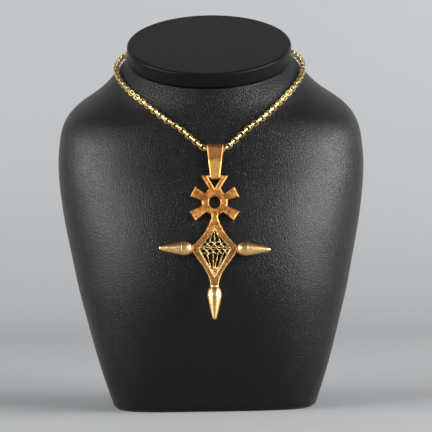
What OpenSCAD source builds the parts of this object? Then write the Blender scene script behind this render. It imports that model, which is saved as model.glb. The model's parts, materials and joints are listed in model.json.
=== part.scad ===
// A folk cross pendant on an anchor chain, worn on a plain neck bust.
// The front faces -Y, +Z is up, and the origin is the middle of the bust's underside.

/* [Bust] */
// Height of the middle of the neck's top
bust_h = 180; // [165:1:200]
// Height of the widest place of the shoulders
shoulder_h = 128; // [115:1:140]
// Width across the shoulders
shoulder_w = 158.8; // [140:0.2:180]
// Width of the base
base_w = 104; // [90:1:120]
// Depth of the base
base_d = 79; // [70:1:90]
// Forward reach of the chest from the middle of the base
chest_reach = 61; // [54:1:70]
// Backward reach of the back from the middle of the base
back_reach = 43; // [40:1:50]
// Width of the neck's top
neck_w = 84; // [74:1:90]
// Slant of the neck's top, lower in front
neck_slant = 22; // [15:1:26]
// Rounding of the lower edge
base_edge = 1.4; // [0.5:0.1:4]

/* [Cap] */
// Overhang of the cap past the neck
cap_lip = 0.6; // [0:0.1:3]
// Thickness of the cap
cap_t = 8; // [5:0.5:10]
// Rounding of the cap's rim
cap_round = 1.3; // [1:0.1:2.9]

/* [Chain] */
// Wire of a chain link
link_wire = 0.8; // [0.6:0.05:0.9]
// Outer width of a chain link
link_w = 3.2; // [2.9:0.1:3.4]
// Spacing of the links along the chain
link_pitch = 2.35; // [2.2:0.05:2.8]
// How far the chain is turned round the neck, to the right in front
chain_turn = 2.5; // [-4:0.5:4]

/* [Clasp] */
// Outer width of the clasp's ring
clasp_w = 6.4; // [5.5:0.1:8]
// Wire of the clasp's ring
clasp_wire = 1.1; // [0.8:0.1:1.4]

/* [Bail] */
// Thickness of the bail's strap
bail_t = 0.7; // [0.5:0.05:1]
// Width of the strap at its upper fold
bail_top_w = 8.8; // [7:0.1:11]
// Width of the strap at its lower fold
bail_low_w = 4.5; // [3:0.1:4.6]
// Distance between the bail's two folds
bail_drop = 13.7; // [11:0.1:18]
// How far the bail hangs to the right of the bust's middle
hang_off = 2.2; // [-3:0.1:3]
// How far the bail and the cross hang turned, seen from the front
hang_turn = 1; // [-2:0.1:2]
// How far the cross hangs to the right of the bail's middle
cross_off = -0.2; // [-0.2:0.1:0.2]

/* [Cross plate] */
// Thickness of the plate
plate_t = 1.6; // [1.2:0.1:2.2]
// Thickness of the round bar at the top of the loop
bar_d = 1.25; // [1:0.05:1.5]
// Width across the loop's two points
loop_w = 14; // [12:0.1:16]
// Width of the loop's opening, under the bar
eye_w = 6.4; // [6:0.1:7.5]
// Bar to the loop's foot
loop_h = 6.1; // [5.6:0.1:7]
// Width of the loop's foot
loop_foot_w = 5.8; // [5:0.1:7]
// Bar to the middle of the hub
hub_drop = 13.3; // [12.5:0.1:15]
// Outer width of the hub
hub_w = 13; // [12:0.1:14]
// Width of the hole in the hub
hub_hole = 6; // [4:0.1:8]
// Reach of the upper arms from the middle of the hub
upper_arm = 12.4; // [10:0.1:15]
// Reach of the lower arms from the middle of the hub
lower_arm = 13.1; // [10:0.1:15]
// Rise of the upper arms
upper_angle = 26; // [20:1:32]
// Fall of the lower arms
lower_angle = 32.4; // [28:1:38]
// Width of an arm at its root
arm_root = 3.9; // [3:0.1:4.5]
// Width of an arm at its end
arm_end = 5.8; // [5:0.1:7]

/* [Diamond] */
// Bar to the narrow neck above the diamond
neck_drop = 21; // [20.5:0.1:22]
// Width of that narrow neck
waist_w = 3.2; // [2.8:0.1:5]
// Bar to the diamond's side points
side_drop = 37; // [34:0.1:40]
// Width across the diamond's side points
diamond_w = 22; // [20:0.1:25]
// Height of the diamond's cut-off side points
side_cut = 3.4; // [2.5:0.1:4]
// Bar to the diamond's foot
foot_drop = 56; // [52:0.1:60]
// Width of the diamond's foot
foot_w = 4.2; // [3:0.1:5]
// Hollow of the upper edges
upper_hollow = 1.3; // [0:0.1:2]
// Hollow of the lower edges
lower_hollow = 1.4; // [0:0.1:2]

/* [Filigree] */
// Frame left round the window, measured along the diamond's width
frame_w = 2.6; // [2:0.1:4]
// Bar to the window's upper point
window_top = 26.6; // [26:0.1:28]
// Bar to the window's lower point
window_foot = 52; // [48:0.1:53]
// Width of the filigree wire
wire_w = 0.62; // [0.4:0.02:0.8]
// Depth of the filigree
wire_t = 1.1; // [0.6:0.1:1.4]
// Outer width of a filigree loop
curl_w = 3; // [2.6:0.1:3.2]

/* [Spindles] */
// Length of a spindle
spindle_l = 16.8; // [13:0.1:20]
// Width of a spindle at its ridge
spindle_d = 7.4; // [5.6:0.1:8]
// Width of a spindle where it is soldered on
spindle_neck = 4.2; // [3:0.1:5]
// Width of a spindle's blunt point
spindle_tip = 1.9; // [1:0.1:2.5]
// Root to ridge
spindle_dome = 5.4; // [3.5:0.1:7]

/* [Hidden] */
$fn = 48;
eps = 0.01;
rest_gap = 0.35; // between what lies on the bust and the bust
seat_gap = 0.2; // between the cap and the neck
play = 0.15; // between a bail's fold and what it turns on
link_gap = 0.26; // between two links that hang in each other
solder = 0.4; // overlap of two pieces that are soldered together
wire_solder = 0.1; // overlap of two filigree wires that touch
dip_room = 0.75; // room in the bail's upper fold round a link, for the chain's dip

chest_row = 0.594; // height of the most forward section, as a share of shoulder_h
// Sections from the base to the shoulders. Heights are shares of shoulder_h. The widths and reaches
// are shares of the way from the base's size to the shoulders', chest's and back's. Above chest_row
// the reaches are shares of the way from the neck's size.
// [height, width, front, back, squareness, slant as a share of neck_slant]
BODY = [
    [0, 0, 0, 0, 4, 0],
    [0.125, 0.197, 0.34, 0.31, 3.6, 0],
    [0.234, 0.347, 0.572, 0.486, 3.3, 0],
    [0.352, 0.489, 0.795, 0.657, 3, 0],
    [0.473, 0.635, 0.944, 0.8, 2.8, 0],
    [chest_row, 0.748, 1, 0.914, 2.6, 0],
    [0.719, 0.865, 0.945, 1, 2.5, 0],
    [0.828, 0.945, 0.827, 1, 2.45, 0.045],
    [0.922, 0.989, 0.705, 1, 2.45, 0.114],
    [1, 1, 0.569, 0.877, 2.45, 0.227]
];
// Sections from the shoulders to the neck's top. Heights are shares of the rest of bust_h. The widths
// and reaches are shares of the way from the neck's size to the shoulders', chest's and back's.
NECK = [
    [0.183, 0.979, 0.456, 0.63, 2.45, 0.364],
    [0.313, 0.947, 0.374, 0.384, 2.45, 0.455],
    [0.423, 0.88, 0.306, 0.138, 2.42, 0.545],
    [0.529, 0.743, 0.238, -0.108, 2.4, 0.636],
    [0.627, 0.524, 0.184, -0.281, 2.3, 0.727],
    [0.712, 0.364, 0.139, -0.404, 2.2, 0.818],
    [0.808, 0.235, 0.102, -0.404, 2.1, 0.909],
    [0.904, 0.123, 0.062, -0.232, 2.05, 0.968],
    [1, 0, 0, 0, 2, 1]
];
// The chain's way from the bail to the back of the neck, on one side.
// [angle round the bust from the front, height as a share of NECK's, lift as a share of link_w]
ROUTE = [
    [14, 0.375, 0.19],
    [22, 0.51, 0.05],
    [31, 0.615, 0],
    [41, 0.725, 0],
    [51, 0.8, 0],
    [63, 0.852, 0],
    [78, 0.884, 0],
    [95, 0.897, 0],
    [115, 0.9, 0],
    [137, 0.9, 0],
    [160, 0.9, 0]
];
// The chain inside and beside the bail's upper fold: [distance from the middle, rise], in shares of
// link_w
INSIDE_BAIL = [
    [0, -0.16],
    [1, -0.02],
    [2.05, 0.52]
];
bail_row = 0.226; // height of the bail's upper fold, as a share of NECK's
sides = 56; // round the bust
turn_over = 12; // length over which the links roll over at the clasp

hub_corner = 0.36 * hub_w; // where the loop's foot runs into the hub, across and up from its middle
arm_flare = 1.3; // power of an arm's widening
foot_hollow = 1.6; // how much nearer the foot the lower edges are hollow, as a power
dome_crown = 0.8; // how much of a spindle's dome follows a circle
bar_rise = 0.6; // of the filigree's middle bar over the side points
bunch_share = 0.72; // where the lower wires run together, from the side points to the window's foot
fan_foot = 0.4; // spacing of the fans' wires where they meet
fan_spread = 0.9; // spacing of the upper fan's wires on the loops, as a share of a loop's

function blend(a, b, k) = a + (b - a) * k;
function cross_of(a, b) = cross(a, b) / norm(cross(a, b));
function unit(v) = v / norm(v);

// The bust's sections as lengths: [height, half width, front, back, squareness, slant]
neck_deep = neck_w / 2 * cos(neck_slant);
SECTIONS = concat(
    [for (r = BODY) let (deep = r[0] > chest_row ? neck_deep : base_d / 2) [
        r[0] * shoulder_h,
        blend(base_w, shoulder_w, r[1]) / 2,
        blend(deep, chest_reach, r[2]),
        blend(deep, back_reach, r[3]),
        r[4],
        r[5] * neck_slant
    ]],
    [for (r = NECK) [
        blend(shoulder_h, bust_h, r[0]),
        blend(neck_w, shoulder_w, r[1]) / 2,
        blend(neck_deep, chest_reach, r[2]),
        blend(neck_deep, back_reach, r[3]),
        r[4],
        r[5] * neck_slant
    ]]
);
last = len(SECTIONS) - 1;

// One column of SECTIONS at a height, on a smooth curve through the rows
function row_below(z) = max([0, for (i = [0:last - 1]) if (SECTIONS[i][0] <= z) i]);
function rate(i, c) =
    let (lo = max(i - 1, 0), hi = min(i + 1, last))
    (SECTIONS[hi][c] - SECTIONS[lo][c]) / (SECTIONS[hi][0] - SECTIONS[lo][0]);
function column(z, c) =
    let (i = row_below(z), a = SECTIONS[i], b = SECTIONS[i + 1])
    let (h = b[0] - a[0], t = min(max((z - a[0]) / h, 0), 1))
    (2 * t ^ 3 - 3 * t ^ 2 + 1) * a[c] + (t ^ 3 - 2 * t ^ 2 + t) * h * rate(i, c)
    + (3 * t ^ 2 - 2 * t ^ 3) * b[c] + (t ^ 3 - t ^ 2) * h * rate(i + 1, c);

// A point of the bust's skin: z is its section's height, angle runs round from the front
function skin(z, angle, inset = 0) =
    let (n = column(z, 4), deep = cos(angle) > 0 ? column(z, 2) : column(z, 3))
    let (across = abs(sin(angle)) / (column(z, 1) - inset), along = abs(cos(angle)) / (deep - inset))
    let (r = (across ^ n + along ^ n) ^ (-1 / n), y = -r * cos(angle))
    [r * sin(angle), y, z + y * tan(column(z, 5))];
function outward(z, angle) =
    let (d = 0.5, top = min(z + d, bust_h))
    cross_of(skin(z, angle + d) - skin(z, angle - d), skin(top, angle) - skin(z - d, angle));
function off_skin(z, angle, lift) = skin(z, angle) + lift * outward(z, angle);

// Where the bail hangs from the chain, and how far the pendant leans out over the chest
bail_in = link_w / 2 + dip_room;
bail_out = bail_in + bail_t;
fold_in = bar_d / 2 + play;
fold_out = fold_in + bail_t;
bail_section = blend(shoulder_h, bust_h, bail_row);
bail_axis = off_skin(bail_section, 0, bail_out + rest_gap) + [hang_off, 0, 0];
ridge_x = diamond_w / 2 + spindle_dome;
reach_down = bail_drop + side_drop;
// The side spindles' ridges rest against the chest
function lean_from(guess) =
    let (z = bail_axis[2] - reach_down * cos(guess))
    let (near_x = ridge_x - abs(hang_off + cross_off - reach_down * sin(hang_turn)))
    let (p = off_skin(z, atan(near_x / chest_reach), spindle_d / 2 + rest_gap))
    atan((bail_axis[1] - p[1]) / (bail_axis[2] - p[2]));
hang_lean = lean_from(lean_from(13));
// A way across and up on what hangs, as it lies in space
function hung(across, up) =
    let (turned = up * cos(hang_turn) - across * sin(hang_turn))
    [across * cos(hang_turn) + up * sin(hang_turn), turned * sin(hang_lean), turned * cos(hang_lean)];
bar_axis = bail_axis + hung(cross_off, -bail_drop);
swing_axis = hung(-1, 0);
echo(bail_axis = bail_axis, bar_axis = bar_axis, hang_lean = hang_lean, swing_axis = swing_axis);

// The chain's closed way round the neck, each place with the direction away from the bust
link_bend = (link_w - link_wire) / 2;
chain_lift = link_w / 2 + rest_gap;
off_chest = outward(bail_section, 0);
function beside_bail(side, q) = concat(
    bail_axis + link_w * [side * q[0], -q[1] * off_chest[2] / off_chest[1], q[1]],
    off_chest
);
function on_bust(side, r) =
    let (z = blend(shoulder_h, bust_h, r[1]), angle = side * r[0] + chain_turn)
    concat(off_skin(z, angle, chain_lift + r[2] * link_w), outward(z, angle));
back_z = blend(shoulder_h, bust_h, ROUTE[len(ROUTE) - 1][1]);
back_angle = 180 + chain_turn;
BACK = concat(off_skin(back_z, back_angle, chain_lift), outward(back_z, back_angle));
// It starts and ends at the back, and runs round by the left side
WAY = concat(
    [BACK],
    [for (i = [len(ROUTE) - 1:-1:0]) on_bust(-1, ROUTE[i])],
    [for (i = [2, 1]) beside_bail(-1, INSIDE_BAIL[i])],
    [for (q = INSIDE_BAIL) beside_bail(1, q)],
    [for (r = ROUTE) on_bust(1, r)]
);
steps = 10;
count = len(WAY);
function place(i) = WAY[(i + count) % count];
function curve(i, t) =
    let (a = place(i - 1), b = place(i), c = place(i + 1), d = place(i + 2))
    0.5 * (2 * b + (c - a) * t + (2 * a - 5 * b + 4 * c - d) * t ^ 2
    + (3 * b - a - 3 * c + d) * t ^ 3);
FINE = [for (i = [0:count - 1]) for (k = [0:steps - 1]) curve(i, k / steps), place(0)];
function spot(p) = [p[0], p[1], p[2]];
RUN = [for (i = 0, s = 0; i < len(FINE);
    s = i + 1 < len(FINE) ? s + norm(spot(FINE[i + 1]) - spot(FINE[i])) : s, i = i + 1) s];
loop_length = RUN[len(RUN) - 1];
TRACKS = [for (c = [0:5]) [for (i = [0:len(FINE) - 1]) [RUN[i], FINE[i][c]]]];
function along(s) = [for (c = [0:5]) lookup(s, TRACKS[c])];
function heading(s) = unit(spot(along(min(s + 0.6, loop_length))) - spot(along(max(s - 0.6, 0))));

link_l = link_pitch + 2 * link_wire + link_gap;
link_straight = link_l - link_w;
// The first and last links hang in the clasp's ring
clasp_in = clasp_w / 2 - clasp_wire;
end_reach = clasp_in - link_gap - link_wire + link_l / 2;
links = 2 * round((loop_length / 2 - end_reach) / link_pitch) + 1;
true_pitch = (loop_length - 2 * end_reach) / (links - 1);
middle_link = (links - 1) / 2;
echo(loop_length = loop_length, links = links, true_pitch = true_pitch);

module bust_body() {
    top = [for (r = SECTIONS) r[0]];
    between = [for (i = [0:last - 1]) for (k = [0, 1]) blend(top[i], top[i + 1], k / 2)];
    heights = concat([base_edge], [for (z = between) if (z > base_edge * 2) z], [bust_h]);
    rings = concat(
        [[for (k = [0:sides - 1]) skin(0, 360 * k / sides, base_edge)]],
        [for (z = heights) [for (k = [0:sides - 1]) skin(z, 360 * k / sides)]]
    );
    points = [for (ring = rings) each ring];
    rows = len(rings);
    wall = [for (j = [0:rows - 2]) for (k = [0:sides - 1])
        let (a = j * sides + k, b = j * sides + (k + 1) % sides)
        each [[a, a + sides, b + sides], [a, b + sides, b]]];
    bottom = [for (k = [0:sides - 1]) k];
    crown = [for (k = [sides - 1:-1:0]) (rows - 1) * sides + k];
    color([0.09, 0.09, 0.1])
        polyhedron(points = points, faces = concat([bottom, crown], wall));
}

// Half of the cap's section, from its axis out
module cap_profile() {
    r = neck_w / 2 + cap_lip;
    edge = min(cap_round, 0.45 * cap_t);
    square([r - edge, cap_t]);
    translate([0, edge])
        square([r, cap_t - 2 * edge]);
    for (y = [edge, cap_t - edge])
        translate([r - edge, y])
            circle(r = edge);
}

module neck_cap() {
    color([0.12, 0.12, 0.13])
        translate([0, 0, bust_h])
            rotate([neck_slant, 0, 0])
                translate([0, 0, seat_gap])
                    rotate_extrude()
                        cap_profile();
}

// One oval link, lying flat along X
module link() {
    for (side = [-1, 1]) {
        translate([side * link_straight / 2, 0, 0])
            rotate([0, 0, side > 0 ? -90 : 90])
                rotate_extrude(angle = 180)
                    translate([link_bend, 0])
                        circle(d = link_wire);
        translate([-link_straight / 2, side * link_bend, 0])
            rotate([0, 90, 0])
                cylinder(d = link_wire, h = link_straight);
    }
}

// Puts a piece at a length along the chain, X along it and Z away from the bust
module at_length(s) {
    here = along(s);
    x = heading(s);
    y = cross_of([here[3], here[4], here[5]], x);
    z = cross(x, y);
    multmatrix([
        [x[0], y[0], z[0], here[0]],
        [x[1], y[1], z[1], here[1]],
        [x[2], y[2], z[2], here[2]]
    ])
        children();
}

// The links from one number up to another, counted from the clasp round by the left side
module chain(from, to) {
    color([0.85, 0.68, 0.36])
        for (i = [from:to]) {
            s = end_reach + i * true_pitch;
            at_clasp = max(0, 1 - min(s, loop_length - s) / turn_over);
            roll = (i % 2 == 0 ? 0 : 90) + 90 * at_clasp;
            at_length(s)
                rotate([roll, 0, 0])
                    link();
        }
}

module chain_left() {
    chain(0, middle_link - 1);
}

module chain_right() {
    chain(middle_link, links - 1);
}

module clasp() {
    color([0.85, 0.68, 0.36])
        at_length(0)
            rotate_extrude()
                translate([(clasp_w - clasp_wire) / 2, 0])
                    circle(d = clasp_wire);
}

// Points on an arc round a middle
function arc(middle, r, from, to, n = 20) =
    [for (i = [0:n]) let (a = blend(from, to, i / n)) middle + r * [cos(a), sin(a)]];

// The outline round two folds, the second one below the first
function drop_outline(r_top, r_low, drop) =
    let (tilt = asin((r_top - r_low) / drop))
    concat(arc([0, 0], r_top, -tilt, 180 + tilt), arc([0, -drop], r_low, 180 + tilt, 360 - tilt));

// Hangs a piece from an axis, leaning out over the chest and turned a little
module hang_at(axis) {
    translate(axis)
        rotate([-hang_lean, 0, 0])
            rotate([0, hang_turn, 0])
                children();
}

module bail() {
    high = bail_out + eps;
    low = -bail_drop - fold_out - eps;
    color([0.85, 0.68, 0.36])
        hang_at(bail_axis)
            intersection() {
                rotate([90, 0, 90])
                    linear_extrude(bail_top_w + 1, center = true)
                        difference() {
                            polygon(drop_outline(bail_out, fold_out, bail_drop));
                            polygon(drop_outline(bail_in, fold_in, bail_drop));
                        }
                rotate([90, 0, 0])
                    linear_extrude(3 * bail_out, center = true)
                        polygon([
                            [-bail_top_w / 2, high],
                            [bail_top_w / 2, high],
                            [bail_low_w / 2, low],
                            [-bail_low_w / 2, low]
                        ]);
            }
}

// Points from a to b that are hollow by sag to the left of the way, in the middle or nearer to b
function hollow_edge(a, b, sag, late = 1, n = 6) =
    let (way = b - a, side = [-way[1], way[0]] / norm(way))
    [for (i = [0:n]) let (t = i / n, u = t ^ late) a + way * t + side * 4 * sag * u * (1 - u)];

// One flared arm, along X from the middle of the hub
module arm(reach) {
    root = hub_w / 2 - solder;
    flare = [for (i = [0:4]) let (t = i / 4) [
        blend(root, reach, t),
        blend(arm_root, arm_end, t ^ arm_flare) / 2
    ]];
    polygon(concat(
        [[hub_hole / 2 + solder, -arm_root / 2], [hub_hole / 2 + solder, arm_root / 2]],
        flare,
        [for (i = [4:-1:0]) [flare[i][0], -flare[i][1]]]
    ));
}

module hanging_loop() {
    half_bar = bar_d / 2;
    difference() {
        polygon([
            [-loop_w / 2, half_bar],
            [loop_w / 2, half_bar],
            [loop_foot_w / 2, -loop_h],
            [hub_corner, -hub_drop + hub_corner],
            [-hub_corner, -hub_drop + hub_corner],
            [-loop_foot_w / 2, -loop_h]
        ]);
        polygon([
            [-eye_w / 2, half_bar + 1],
            [eye_w / 2, half_bar + 1],
            [eye_w / 2, -half_bar],
            [0, -loop_h],
            [-eye_w / 2, -half_bar]
        ]);
    }
}

module hub() {
    middle = [0, -hub_drop];
    difference() {
        union() {
            translate(middle)
                circle(d = hub_w);
            for (side = [0, 1])
                mirror([side, 0]) {
                    translate(middle)
                        rotate(upper_angle)
                            arm(upper_arm);
                    translate(middle)
                        rotate(-lower_angle)
                            arm(lower_arm);
                }
            hanging_loop();
        }
        translate(middle)
            circle(d = hub_hole);
    }
}

module diamond() {
    half_cut = side_cut / 2;
    side_x = diamond_w / 2;
    right = concat(
        [[waist_w / 2 + 0.3, -hub_drop - hub_w / 2 + solder]],
        hollow_edge([waist_w / 2, -neck_drop], [side_x, -side_drop + half_cut], -upper_hollow),
        hollow_edge([side_x, -side_drop - half_cut], [foot_w / 2, -foot_drop], -lower_hollow, foot_hollow),
        [[foot_w / 2, -foot_drop - solder]]
    );
    polygon(concat(right, [for (i = [len(right) - 1:-1:0]) [-right[i][0], right[i][1]]]));
}

window_x = diamond_w / 2 - frame_w;
// The window's outline, drawn in by a margin
function window_outline(margin) =
    let (up = side_drop - window_top, low = window_foot - side_drop)
    let (a = margin * norm([window_x, up]) / window_x, b = margin * norm([window_x, low]) / window_x)
    let (x = window_x * (1 - (a + b) / (up + low)), y = -window_top - a - up * x / window_x)
    [[0, -window_top - a], [x, y], [0, -window_foot + b], [-x, y]];

// A straight wire between two places
module wire(a, b) {
    way = b - a;
    translate(a)
        rotate(atan2(way[1], way[0]))
            translate([0, -wire_w / 2])
                square([norm(way), wire_w]);
}

module filigree() {
    middle_y = -side_drop + bar_rise;
    row = (wire_w + curl_w) / 2 - wire_solder;
    curl_step = curl_w - 1.5 * wire_solder;
    top_y = middle_y + row + curl_w / 2 - wire_w / 2;
    low_y = middle_y - row - curl_w / 2 + wire_w / 2;
    bunch_y = -blend(side_drop, window_foot, bunch_share);
    intersection() {
        union() {
            difference() {
                polygon(window_outline(-wire_solder));
                polygon(window_outline(wire_w));
            }
            wire([-window_x, middle_y], [window_x, middle_y]);
            for (i = [-2:2], y = [middle_y + row, middle_y - row])
                translate([i * curl_step, y])
                    difference() {
                        circle(d = curl_w);
                        circle(d = curl_w - 2 * wire_w);
                    }
            for (i = [-1:1])
                wire([i * curl_step * fan_spread, top_y], [i * fan_foot, -window_top]);
            for (i = [-1.5:1:1.5])
                wire([i * curl_step, low_y], [i * fan_foot, bunch_y - solder]);
            polygon([[-window_x, bunch_y], [window_x, bunch_y], [0, -window_foot - solder]]);
        }
        polygon(window_outline(-wire_solder));
    }
}

// One spindle, along Z from its soldered root
module spindle() {
    n = 6;
    rise = (spindle_d - spindle_neck) / 2;
    dome = [for (i = [0:n]) let (a = 90 * i / n) [
        spindle_neck / 2 + rise * sin(a),
        spindle_dome * blend(i / n, 1 - cos(a), dome_crown)
    ]];
    tip = spindle_tip / 2;
    rotate_extrude()
        polygon(concat(
            [[0, -solder], [spindle_neck / 2, -solder]],
            dome,
            [[tip, spindle_l - tip / 2], [tip / 2, spindle_l], [0, spindle_l]]
        ));
}

module cross() {
    color([0.80, 0.52, 0.25])
        hang_at(bar_axis) {
            rotate([90, 0, 0])
                linear_extrude(plate_t, center = true)
                    difference() {
                        union() {
                            hub();
                            diamond();
                        }
                        polygon(window_outline(0));
                    }
            rotate([90, 0, 0])
                linear_extrude(wire_t, center = true)
                    filigree();
            rotate([0, 90, 0])
                cylinder(d = bar_d, h = eye_w + 2 * solder, center = true);
            for (side = [-1, 1])
                translate([side * diamond_w / 2, 0, -side_drop])
                    rotate([0, side * 90, 0])
                        spindle();
            translate([0, 0, -foot_drop])
                rotate([180, 0, 0])
                    spindle();
        }
}

bust_body();
neck_cap();
chain_left();
chain_right();
clasp();
bail();
cross();
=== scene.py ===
import json
import math

import bpy
import bmesh
import numpy as np
from mathutils import Matrix, Vector


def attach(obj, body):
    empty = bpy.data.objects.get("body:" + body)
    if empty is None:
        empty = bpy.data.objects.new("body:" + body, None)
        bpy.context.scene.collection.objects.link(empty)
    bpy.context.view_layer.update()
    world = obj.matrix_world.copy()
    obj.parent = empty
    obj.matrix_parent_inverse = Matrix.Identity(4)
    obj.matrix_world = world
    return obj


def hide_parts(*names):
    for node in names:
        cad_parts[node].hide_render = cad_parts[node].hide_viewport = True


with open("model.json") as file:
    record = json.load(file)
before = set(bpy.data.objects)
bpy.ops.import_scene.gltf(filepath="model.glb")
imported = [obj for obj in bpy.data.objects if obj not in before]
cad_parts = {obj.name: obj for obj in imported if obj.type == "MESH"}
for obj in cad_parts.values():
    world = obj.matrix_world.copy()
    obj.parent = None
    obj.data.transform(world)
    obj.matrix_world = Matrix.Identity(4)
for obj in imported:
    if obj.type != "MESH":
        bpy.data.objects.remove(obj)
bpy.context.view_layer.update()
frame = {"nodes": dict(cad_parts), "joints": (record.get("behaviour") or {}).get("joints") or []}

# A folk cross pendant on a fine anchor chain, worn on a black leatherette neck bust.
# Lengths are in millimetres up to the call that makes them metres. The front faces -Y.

MM = 0.001
SMALL = Matrix.Scale(MM, 4)  # the metalwork is modelled in mm and put in place in metres

# Camera
CAMERA_PLACE = (0, -1560, 165)
CAMERA_TARGET = (2.15, 0, 98)
CAMERA_LENS = 250
CAMERA_ROLL = -0.96

# Floor and wall in metres, and the light of the room
FLOOR_SIZE = 8
WALL_Y = 0.8
WALL_H = 3
WALL_ROUND = 0.35
PAPER_COLOUR = (0.26, 0.265, 0.27, 1)
ROOM_COLOUR = (0.80, 0.82, 0.85, 1)
ROOM_LIGHT = 0.06

# Lights: name, place, target, width, height (metres), power (watts)
LIGHTS = (
    ("softbox_left", (-1.25, -0.5, 0.5), (0, 0, 0.11), 1.3, 0.75, 40),
    ("softbox_right", (1.25, -0.5, 0.5), (0, 0, 0.11), 1.3, 0.75, 57),
    ("softbox_front", (0, -1.9, 1.15), (0, 0, 0.1), 1.2, 0.6, 1.6),
    ("high_box_left", (-1.25, -0.1, 1.35), (0, -0.05, 0.11), 0.45, 0.45, 2),
    ("high_box_right", (1.25, -0.1, 1.35), (0, -0.05, 0.11), 0.45, 0.45, 2),
)

# Heights above the floor at which the gold's colour changes
PLATE_FADE = (90, 97)
BAIL_FADE = (127, 131)

# Places of a piece's finishes in its list of materials
# The third place holds the darker inner gold, painted shade for walls that face inwards.
FACE, EDGE, RECESS_SHADE = 0, 1, 2

# Cross, measured from the middle of the bar at its top
PLATE_T = 1.6
BAR_D = 1.25
BAR_OVERLAP = 0.4
LOOP_W = 14
EYE_W = 6.4
LOOP_H = 6.1
LOOP_FOOT_W = 5.8
LOOP_ROOT_SHARE = 0.36
HUB_DROP = 13.3
HUB_W = 13
HUB_HOLE = 6
HUB_SIDES = 144
HOLE_SIDES = 72
HUB_OVERLAP = 0.4
UPPER_ARM = 12.4
LOWER_ARM = 13.1
UPPER_ANGLE = 26
LOWER_ANGLE = -32.4
ARM_ROOT = 3.9
ARM_END = 5.8
ARM_FLARE = 1.3
NECK_DROP = 21
WAIST_W = 3.2
SIDE_DROP = 37
DIAMOND_W = 22
SIDE_CUT = 3.4
FOOT_DROP = 56
FOOT_W = 4.2
UPPER_HOLLOW = 1.3
LOWER_HOLLOW = 1.4
FOOT_HOLLOW = 1.6
FRAME_W = 2.6
WINDOW_TOP = 26.6
WINDOW_FOOT = 52
RIM_BEVEL = 0.62
HOLE_BEVEL = 0.45
PARTING_X = 0.63

# What each part of the plate has over its thickness while they are joined, so that no two
# flats fall together
HUB_EXTRA = 0.3
ARM_EXTRAS = ((0.4, 0.5), (0.6, 0.7))
LOOP_EXTRA = 0.8
DIAMOND_EXTRA = 0.9

# Filigree
WIRE_W = 0.62
TWIST_PITCH = 1.1
TWIST_STEPS = 9
STRAND_SWELL = 1.08
WIRE_PLANE = -0.2
ROW_APART = 0.1
BORDER_INSET = 0.3
BORDER_PLANE = WIRE_PLANE - 0.08
BORDER_WIDTHS = (0.6, 0.6, 0.66, 0.78)
BAR_ROW_DROP = 36.4
BAR_ROW_ENDS = (-8.3, 8.2)
BAR_ROW_RISE = 0.1
BAR_WIRE_W = 0.56
UPPER_ROW_DROP = 34.7
LOWER_ROW_DROP = 38.2
EYE_REACH = 1.2
EYE_FULLNESS = 0.8
EYE_STEPS = 8

# Bail, as seen from its upper fold's middle
BAIL_T = 0.7
BAIL_IN = 2.35
BAIL_TOP_W = 8.8
BAIL_LOW_W = 4.5
BAIL_DROP = 13.7
BAIL_FOLD_IN = 0.775
BAIL_BEVEL = 0.5
BAIL_TOP_SIDES = 28
BAIL_LOW_SIDES = 20
TAPER_T = 9
TAPER_SWELL = 1.0002  # a hair over, so that no two flats fall together

# Spindles
SPINDLE_L = 16.8
SPINDLE_R = 3.7
SPINDLE_NECK_R = 2.1
SPINDLE_TIP_R = 0.95
SPINDLE_DOME = 5.4
SPINDLE_CONE = 1.12
SPINDLE_STEPS = 12
SPINDLE_SIDES = 56
SPINDLE_TILT = {"spindle_left": 1.3, "spindle_right": 1.3, "spindle_foot": 0}

# Chain
LINK_WIRE = 0.8
LINK_W = 3.2
LINK_L = 4.21
LINK_SIDES = 16
LINK_WIRE_SIDES = 6

# Cap
CAP_R = 42.6
CAP_T = 8
CAP_ROUND = 1.3
CAP_SLANT = 22
CAP_SIDES = 160
CAP_RINGS = (2, 14, 14)
NECK_TOP = 180
CAP_GAP = 0.2

# Merging of doubles
CAD_MERGE = 0.0005
WIRE_MERGE = 0.0005
PLATE_MERGE = 0.002


# Ways of working

def deselect():
    if bpy.context.mode != "OBJECT":
        bpy.ops.object.mode_set(mode="OBJECT")
    bpy.ops.object.select_all(action="DESELECT")


def work_on(piece):
    deselect()
    piece.select_set(True)
    bpy.context.view_layer.objects.active = piece


def added(name):
    piece = bpy.context.object
    piece.name = name
    piece.data.name = name
    return piece


def edit(piece, kind="FACE"):
    work_on(piece)
    bpy.context.tool_settings.mesh_select_mode = (kind == "VERT", kind == "EDGE", kind == "FACE")
    bpy.ops.object.mode_set(mode="EDIT")


def edit_all(piece):
    edit(piece)
    bpy.ops.mesh.select_all(action="SELECT")


def select_where(piece, kind, test):
    """Leaves the piece in edit mode with only the parts chosen by test selected."""
    edit(piece, kind)
    bpy.ops.mesh.select_all(action="DESELECT")
    shape = bmesh.from_edit_mesh(piece.data)
    parts = {"VERT": shape.verts, "EDGE": shape.edges, "FACE": shape.faces}[kind]
    for part in parts:
        if test(part):
            part.select_set(True)
    bmesh.update_edit_mesh(piece.data)


def done(piece):
    bpy.ops.object.mode_set(mode="OBJECT")
    return piece


def applied(piece, kind, **values):
    modifier = piece.modifiers.new("step", kind)
    for key, value in values.items():
        setattr(modifier, key, value)
    work_on(piece)
    bpy.ops.object.modifier_apply(modifier=modifier.name)
    return piece


def combined(base, other, operation):
    applied(base, "BOOLEAN", operation=operation, solver="EXACT", object=other)
    bpy.data.objects.remove(other)
    return base


def joined(pieces, name):
    deselect()
    for piece in pieces:
        piece.select_set(True)
    bpy.context.view_layer.objects.active = pieces[0]
    bpy.ops.object.join()
    return added(name)


def copied(piece, name):
    other = piece.copy()
    other.data = piece.data.copy()
    other.name = name
    other.data.name = name
    bpy.context.scene.collection.objects.link(other)
    return other


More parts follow.
